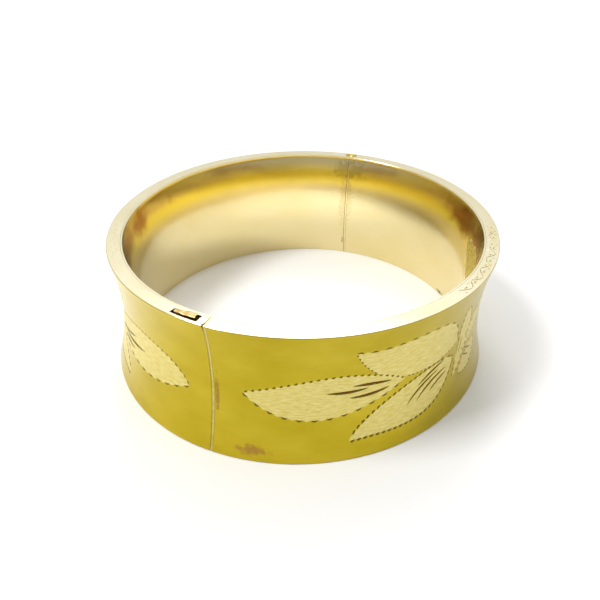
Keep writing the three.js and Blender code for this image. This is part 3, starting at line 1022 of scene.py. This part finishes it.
def outer_shell(half):
    name = "front_outer_shell" if half is FRONT else "back_outer_shell"
    section = shell_section()
    side = half.direction
    hoop = Hoop(half, section, end_plane(half), end_plane(half), notch=0.0 if half is FRONT else SEAM_NOTCH)
    slot = knob_slot(section) if half is BACK else None
    works = [engrave_wall(section, half), engrave_rim(section, half)]
    piece = build_hoop(name.replace("outer", "engraved"), hoop, works, slot)
    stains_and_painted_light = [
        ((side * 6.0, section_girth(section, 1.7)), (2.6, 0.9), 0.75, STAIN_AND_SEAM_SHADE),
        # A thin dark strip beside the clasp seam: painted shade.
        ((side * 0.9, section_girth(section, 9.5)), (0.28, 3.6), 0.8, STAIN_AND_SEAM_SHADE),
        ((side * 33.0, section_girth(section, 1.6)), (9.0, 1.2), 0.15, OLIVE),
    ]
    dress_hoop(piece, name, GOLD_PALE, GOLD_DEEP, 0.19, stains_and_painted_light if half is FRONT else stains_and_painted_light[2:])
    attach(piece, half.body)
    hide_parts(name)


def knob_slot(section):
    """The hole that the thumb knob stands in. Its inner edge leaves SLOT_GAP to the knob as it swings out."""
    xs = np.linspace(KNOB_HIGH.x + SLOT_ROOM, KNOB_LOW.x - SLOT_ROOM, 11)
    alongs = [along_at(BACK, x) for x in xs]
    sweep = MOUTH_RADIUS + SLIDING_GAP - SLOT_GAP
    inner = [min(outer_edge_gap(x, inner_edge(x, sweep)), FLANGE_END - SLOT_BAR) for x in xs]
    return Slot(section, alongs, SLOT_OUTER, inner)


def outer_edge_gap(x, y):
    """How far in from the outline the place (x, y) is, on the clasp side."""
    inward = np.linspace(0, RIM, 60)
    edge = [outer_edge(x, i) for i in inward]
    return float(np.interp(y, edge, inward))


def along_at(half, x):
    """Distance from the clasp seam to the place on the outline with this x, at the clasp end."""
    order = np.argsort(half.angles)
    return float(np.interp(-math.acos(x / HALF_WIDTH), half.angles[order], half.lengths[order]))


def section_girth(section, up):
    values, girths = section.stretch("wall")
    return float(np.interp(up, values, girths))


def inner_liner(half):
    name = "front_inner_liner" if half is FRONT else "back_inner_liner"
    section = band_section(RIM - SHEET, SWELL, RIM, SWELL, 0, HEIGHT)
    hinge_x = end_plane(half) if half is FRONT else SEAM_FRONT - HINGE_SEAM
    hoop = Hoop(half, section, end_plane(half), hinge_x)
    work = engrave_liner(section, half)
    piece = build_hoop(name.replace("inner", "wrist"), hoop, [work])
    side = half.direction
    hinge_end = half.length
    stains_and_painted_light = [
        ((side * (hinge_end - 1.0), section_girth(section, 18.6)), (3.0, 2.2), 0.35, OLIVE),
        ((side * (hinge_end - 0.6), section_girth(section, 12.5)), (1.0, 6.0), 0.35, (0.60, 0.42, 0.08)),
        ((side * (hinge_end - 0.3), section_girth(section, 3.0)), (0.22, 0.9), 0.6, TARNISH_AND_SHADE),
        # A red-brown patch high on the lining: a painted reflection.
        ((side * (64 if half is FRONT else 32), section_girth(section, 18.4)), (17.0, 2.6), 0.8, RED_BROWN_REFLECTION),
    ]
    if half is FRONT:
        stains_and_painted_light.append(((DARK_MARK_ALONG, section_girth(section, 0.6)), (1.0, 0.5), 0.95, DARK_MARK_AND_PIT_SHADE))
    leaf = frosted(name + "_leaf", (0.90, 0.74, 0.20), (0.36, 0.27, 0.04), 0.5, grain=34.0, depth=0.8)
    # The lining's cuts: near-white on the leaf's edges is a painted highlight, and near-black at the bottom
    # of the vent pit is painted shade.
    bright = cut_gold(name + "_cuts", (0.99, 0.95, 0.78), (0.98, 0.92, 0.70), DARK_MARK_AND_PIT_SHADE)
    # Two stripes high on the lining, orange-yellow and then olive: painted reflections of the opposite wall.
    reflection_bands = [
        ([section_girth(section, up) for up in (14.8, 16.6, 17.6, 18.8)], 0.85, (0.95, 0.80, 0.12)),
        ([section_girth(section, up) for up in (17.8, 19.2, 21, 22)], 0.45, (0.66, 0.60, 0.24)),
    ]
    dress_hoop(piece, name, LINER_PALE, LINER_DEEP, 0.15, stains_and_painted_light, leaf, bright, reflection_bands)
    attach(piece, half.body)
    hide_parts(name)


def channel_clear_inward():
    """How far in from the outline the hinge channel ends."""
    return SEAM_Y - HINGE_Y + CHANNEL_RADIUS + 0.02


class Slice(Hoop):
    """A flat slice of the hoop next to a seam, from one plane of x to another."""

    def __init__(self, half, section, near_x, far_x, at_hinge):
        self.half = half
        self.section = section
        self.near_x = near_x
        self.far_x = far_x
        self.at_hinge = at_hinge
        self.start = 0.0
        self.end = abs(far_x - near_x)

    def shape(self, along, girth, depth):
        place, normal = self.section.at(girth)
        share = along / self.end
        x = self.near_x + share * (self.far_x - self.near_x)
        angle = self.half.end_angle(x, place[:, 0], self.at_hinge)
        return self.wrapped(angle, place, normal, along, depth)


def slice_piece(name, section, node, at_hinge, pale, deep):
    low, high = box_mm(node)
    piece = build_hoop(name, Slice(FRONT, section, low.x, high.x, at_hinge), step=SHEET)
    plate = polished(name + "_gold", pale, deep, 0.16 if at_hinge else 0.3, object_place)
    # The plate's faces that look up get the pale rim gold too: a painted highlight.
    rim = polished(name + "_rim", RIM_HIGHLIGHT_PALE, RIM_HIGHLIGHT_DEEP, 0.16, object_place)
    dress(piece, [plate, plate, plate, rim, plate, rim])
    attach(piece, "front_half")
    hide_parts(node)


def plates():
    slice_piece("clasp_end_plate", band_section(0, WAIST, RIM, SWELL, 0, HEIGHT, round_outer=True),
                "front_clasp_plate", False, (0.68, 0.57, 0.20), (0.56, 0.45, 0.12))
    slice_piece("hinge_end_plate", band_section(channel_clear_inward(), 0, RIM, SWELL, 0, HEIGHT),
                "front_hinge_plate", True, LINER_PALE, LINER_DEEP)
    inside = polished("inside_gold", (0.62, 0.50, 0.13), (0.44, 0.33, 0.07), 0.34, object_place, streak=0.2)
    for node in ("back_clasp_plate", "back_hinge_plate", "tongue_guide"):
        for material_slot in frame["nodes"][node].material_slots:
            material_slot.material = inside


# ---------------------------------------------------------------- hinge and clasp

def object_from(name, bm):
    mesh = bpy.data.meshes.new(name)
    bmesh.ops.recalc_face_normals(bm, faces=bm.faces)
    bm.to_mesh(mesh)
    bm.free()
    mesh.transform(Matrix.Scale(MM, 4))
    mesh.polygons.foreach_set("use_smooth", np.ones(len(mesh.polygons), bool))
    mesh.set_sharp_from_angle(angle=math.radians(35))
    return new_object(name, mesh)


LATHE_SIDES = 72


def lathe(name, outline):
    """A closed outline of (radius, height) turned about the hinge axis. A radius of 0 is on the axis."""
    bm = bmesh.new()
    rings = []
    for radius, up in outline:
        if radius == 0:
            rings.append([bm.verts.new((SEAM_X, HINGE_Y, up))] * LATHE_SIDES)
            continue
        turns = [2 * math.pi * k / LATHE_SIDES for k in range(LATHE_SIDES)]
        rings.append([bm.verts.new((SEAM_X + radius * math.cos(a), HINGE_Y + radius * math.sin(a), up))
                      for a in turns])
    closed = outline[0][0] > 0
    pairs = list(zip(rings, rings[1:] + rings[:1])) if closed else list(zip(rings[:-1], rings[1:]))
    for ring, following in pairs:
        for k in range(LATHE_SIDES):
            corners = [ring[k], ring[(k + 1) % LATHE_SIDES], following[(k + 1) % LATHE_SIDES], following[k]]
            unique = list(dict.fromkeys(corners))
            if len(unique) > 2:
                bm.faces.new(unique)
    return object_from(name, bm)


CORNER_TURNS = 4                            # steps in a rounded corner


def rounded(corners, radius):
    """A closed outline with its corners rounded off."""
    outline = []
    count = len(corners)
    for i, corner in enumerate(corners):
        corner = Vector(corner)
        before = (Vector(corners[i - 1]) - corner).normalized()
        after = (Vector(corners[(i + 1) % count]) - corner).normalized()
        for k in range(CORNER_TURNS + 1):
            t = k / CORNER_TURNS
            start, end = corner + before * radius, corner + after * radius
            outline.append(tuple((1 - t) ** 2 * start + 2 * t * (1 - t) * corner + t ** 2 * end))
    return outline


KNUCKLE_EDGE = 0.09                         # rounding of a knuckle's edges
PIN_DOME = 0.16                             # height of the pin's domed ends
PIN_PLAY = 0.05                             # between the pin and the knuckles


def hinge():
    bearing = polished("hinge_gold_worn", (0.70, 0.56, 0.19), (0.50, 0.36, 0.08), 0.27, object_place,
                       streak=0.15)
    radius = (PIN_HIGH.x - PIN_LOW.x) / 2
    bore = radius + PIN_PLAY
    for number in range(1, 6):
        node = f"hinge_knuckle_{number}"
        low, high = box_mm(node)
        corners = [(bore, low.z), (BARREL_RADIUS, low.z), (BARREL_RADIUS, high.z), (bore, high.z)]
        piece = lathe(f"knuckle_{number}_turned", rounded(corners, KNUCKLE_EDGE))
        dress(piece, [bearing])
        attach(piece, "back_half" if number % 2 else "front_half")
        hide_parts(node)
    dome = [(radius * math.cos(a), PIN_DOME * math.sin(a)) for a in np.radians(np.linspace(0, 90, 7))]
    dome[-1] = (0, dome[-1][1])
    top = [(r, PIN_HIGH.z - PIN_DOME + up) for r, up in dome]
    bottom = [(r, PIN_LOW.z + PIN_DOME - up) for r, up in dome]
    piece = lathe("hinge_pin_turned", bottom[::-1] + top)
    dress(piece, [bearing])
    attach(piece, "back_half")
    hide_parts("hinge_pin")


def outer_edge(x, inward):
    """y of the line that far in from the outline, on the clasp side."""
    plan, _ = oval(FRONT.end_angle(np.array([x]), np.array([inward]), False), np.array([inward]))
    return float(plan[0, 1])


def inner_edge(x, radius):
    return HINGE_Y - math.sqrt(radius ** 2 - (x - SEAM_X) ** 2)


LOFT_EDGE = 0.05                            # rounding of a loft's sharp edges


def loft(name, rings):
    """A closed skin over rings of corners, with its sharp edges rounded."""
    bm = bmesh.new()
    loops = [[bm.verts.new(p) for p in ring] for ring in rings]
    for ring, following in zip(loops[:-1], loops[1:]):
        for k in range(len(ring)):
            after = (k + 1) % len(ring)
            bm.faces.new([ring[k], ring[after], following[after], following[k]])
    bm.faces.new(loops[0][::-1])
    bm.faces.new(loops[-1])
    bmesh.ops.recalc_face_normals(bm, faces=bm.faces)
    sharp = [e for e in bm.edges if e.calc_face_angle(0) > math.radians(40)]
    bmesh.ops.bevel(bm, geom=sharp, offset=LOFT_EDGE, segments=2, affect="EDGES", profile=0.5)
    return object_from(name, bm)


def strip(name, middle_line):
    """The spring's strip down a line of (x, z), from the wall's side to an arc about the hinge."""
    rings = []
    line = np.array(middle_line)
    ahead = np.gradient(line, axis=0)
    ahead /= np.linalg.norm(ahead, axis=1, keepdims=True)
    for (x, z), (run, rise) in zip(line, ahead):
        across_x, across_z = -rise * SHEET / 2, run * SHEET / 2
        outer, inner = outer_edge(x, STRIP_INWARD), inner_edge(x, STRIP_ARC)
        rings.append([(x + across_x, outer, z + across_z), (x + across_x, inner, z + across_z),
                      (x - across_x, inner, z - across_z), (x - across_x, outer, z - across_z)])
    return loft(name, rings)


FOLD_RADIUS = 0.14                          # inside the fold of the spring strip
CLIMB = math.radians(12)                    # how steeply the sprung leaf climbs
FOLD = Vector(next(j for j in frame["joints"] if j["name"] == "latch_press")["pos_m"]) / MM
STRIP_INWARD = 1.12                         # the spring strip's outer edge
STRIP_ARC = MOUTH_RADIUS - SWELL * float(bow(HEIGHT - 1)) + SLIDING_GAP


def clasp():
    spring = polished("spring_gold", (0.74, 0.60, 0.22), (0.56, 0.42, 0.12), 0.26, object_place, streak=0.12)
    bend = FOLD_RADIUS + SHEET / 2
    flat = [(x, FOLD.z - bend) for x in np.linspace(TONGUE_HIGH.x, FOLD.x + 0.1, 14)]
    turned = np.radians(np.linspace(270, 105, 10))
    fold = [(FOLD.x + bend * math.cos(a), FOLD.z + bend * math.sin(a)) for a in turned]
    piece = strip("spring_tongue", flat + fold)
    dress(piece, [spring])
    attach(piece, "front_half")
    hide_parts("tongue")
    length = (LEAF_HIGH.x - FOLD.x) / math.cos(CLIMB)
    rising = [(FOLD.x + d * math.cos(CLIMB) - bend * math.sin(CLIMB),
               FOLD.z + d * math.sin(CLIMB) + bend * math.cos(CLIMB)) for d in np.linspace(0, length, 12)]
    piece = strip("spring_leaf", rising)
    dress(piece, [spring])
    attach(piece, "latch")
    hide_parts("latch_leaf")


def knob():
    """The thumb knob: a head that stands in the slot, its top worn into a ramp, on a narrower stem."""
    low_top, high_top = HEIGHT + 0.05, KNOB_HIGH.z
    head_inward, stem_inward, head_foot = 0.95, 1.15, HEIGHT - 0.45
    clear_inward = FLANGE_END - SLOT_BAR - BAR_GAP
    arc = MOUTH_RADIUS + SLIDING_GAP
    leaf_top = FOLD.z + (FOLD_RADIUS + SHEET) / math.cos(CLIMB) + SOLDER
    rings = []
    for x in np.linspace(KNOB_LOW.x, KNOB_HIGH.x, 25):
        share = (x - KNOB_LOW.x) / (KNOB_HIGH.x - KNOB_LOW.x)
        wave = 0.02 * math.sin(2 * math.pi * 2.5 * share) + 0.02
        top = low_top + share * (high_top - low_top) - wave
        outer, stem = outer_edge(x, head_inward), outer_edge(x, stem_inward)
        inner = min(inner_edge(x, arc), outer_edge(x, clear_inward))
        ridge = outer + (inner - outer) * 0.55
        bottom = leaf_top + (x - FOLD.x) * math.tan(CLIMB)
        crown = [(outer, 0.17), (ridge - 0.3, 0.06), (ridge, 0), (ridge + 0.3, 0.02), (inner, 0.10)]
        under = [(inner, bottom), (stem, bottom), (stem, head_foot), (outer, head_foot)]
        rings.append([(x, y, top - drop) for y, drop in crown] + [(x, y, z) for y, z in under])
    piece = loft("thumb_knob_worn", rings)
    tan = polished("knob_gold", (0.84, 0.66, 0.33), (0.64, 0.42, 0.16), 0.3, object_place, streak=0.3)
    dress(piece, [tan])
    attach(piece, "latch")
    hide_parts("thumb_knob")


# ---------------------------------------------------------------- floor, light and camera

VIEW_AZIMUTH = math.radians(18.93)
VIEW_ELEVATION = math.radians(31.78)
VIEW_ROLL = math.radians(1.66)
VIEW_DISTANCE = 117.31
VIEW_FOCAL = 41.538
SENSOR = 36.0
TO_CAMERA = (0.324, -0.946, 0)              # from the bangle towards the camera, in plan


def view_axes():
    """Right, up and back of the level camera."""
    right = Vector((math.cos(VIEW_AZIMUTH), math.sin(VIEW_AZIMUTH), 0))
    level = math.cos(VIEW_ELEVATION)
    back = Vector((math.sin(VIEW_AZIMUTH) * level, -math.cos(VIEW_AZIMUTH) * level, math.sin(VIEW_ELEVATION)))
    return right, back.cross(right), back


def camera():
    right, up, back = view_axes()
    target = Vector((0, 0, HEIGHT / 2)) - 0.63 * right - 3.85 * up
    place = target + VIEW_DISTANCE * back
    tilted_right = math.cos(VIEW_ROLL) * right + math.sin(VIEW_ROLL) * up
    tilted_up = back.cross(tilted_right)
    data = bpy.data.cameras.new("photo_view")
    data.lens = VIEW_FOCAL
    data.sensor_width = SENSOR
    data.clip_start = 1 * MM
    data.clip_end = 10
    view = new_object("photo_view", data)
    axes = Matrix((tilted_right, tilted_up, back)).transposed().to_4x4()
    view.matrix_world = Matrix.Translation(place * MM) @ axes
    bpy.context.scene.camera = view


def floor():
    bm = bmesh.new()
    bmesh.ops.create_circle(bm, cap_ends=True, segments=96, radius=1500)
    bmesh.ops.translate(bm, verts=bm.verts, vec=(0, 0, -0.02))
    piece = object_from("floor", bm)
    nodes = Nodes.of_material("floor_white")
    place = object_place(nodes)
    # The floor's colour darkens from 60 to 170 mm out towards the camera: painted shade on the floor.
    toward = nodes.vector("DOT_PRODUCT", {0: place, 1: TO_CAMERA}, "Value")
    far = nodes.spread(toward, 60, 170)
    nodes.shade("Base Color", nodes.mix(far, rgb(0.82, 0.82, 0.82), rgb(0.42, 0.42, 0.42)))
    nodes.shade("Roughness", 1.0)
    nodes.shade("Specular IOR Level", 0.0)
    piece.data.materials.append(nodes.material)


def put_lamp(name, data, place, back):
    """Puts a lamp at a place, with its back to a direction."""
    lamp = new_object(name, data)
    lamp.matrix_world = Matrix.Translation(place * MM) @ back.to_track_quat("Z", "Y").to_matrix().to_4x4()
    return lamp


def softbox(name, azimuth, elevation, distance, size, power):
    """A square lamp that looks at the bangle. Azimuth is measured as for the camera."""
    data = bpy.data.lights.new(name, "AREA")
    data.shape = "SQUARE"
    data.size = size * MM
    data.energy = power
    turn, rise = math.radians(azimuth), math.radians(elevation)
    away = Vector((math.sin(turn) * math.cos(rise), -math.cos(turn) * math.cos(rise), math.sin(rise)))
    put_lamp(name, data, away * distance, away)


def inside_spot():
    """A soft spot from above that keeps the floor inside the clasp side pale."""
    data = bpy.data.lights.new("inside_spot", "SPOT")
    data.energy = 0.95
    data.spot_size = math.radians(9.5)
    data.spot_blend = 0.8
    data.shadow_soft_size = 20 * MM
    aim, place = Vector((-9, -6, 0)), Vector((-4, 20, 300))
    lamp = put_lamp("inside_spot", data, place, place - aim)
    lamp.visible_glossy = False


def surroundings():
    """A soft white studio, dim at the horizon and bright high on the far side, with a lamp high at the front
    left, one behind, and a spot from above.
    """
    world = bpy.data.worlds.new("studio")
    bpy.context.scene.world = world
    nodes = Nodes.of_world(world)
    place = nodes.add("ShaderNodeTexCoord").outputs["Generated"]
    rise = nodes.add("ShaderNodeSeparateXYZ", {0: place}).outputs["Z"]
    far_side = nodes.vector("DOT_PRODUCT", {0: place, 1: [-c for c in TO_CAMERA]}, "Value")
    behind = nodes.spread(far_side, 0.2, 0.75)
    base = nodes.spread(rise, 0.0, 0.9, 0.40, 0.84)
    high = nodes.spread(rise, 0.25, 0.60, 0.12, 0.55)
    strength = nodes.math("ADD", base, nodes.math("MULTIPLY", high, behind))
    nodes.shade("Strength", strength)
    nodes.shade("Color", rgb(1, 1, 1))
    softbox("key_left", -50, 55, 900, 280, 5.3)
    softbox("fill_behind", 199, 50, 900, 320, 2.7)
    inside_spot()
    bpy.context.scene.view_settings.view_transform = "Standard"


camera()
floor()
surroundings()
for half in (FRONT, BACK):
    outer_shell(half)
    inner_liner(half)
plates()
hinge()
clasp()
knob()
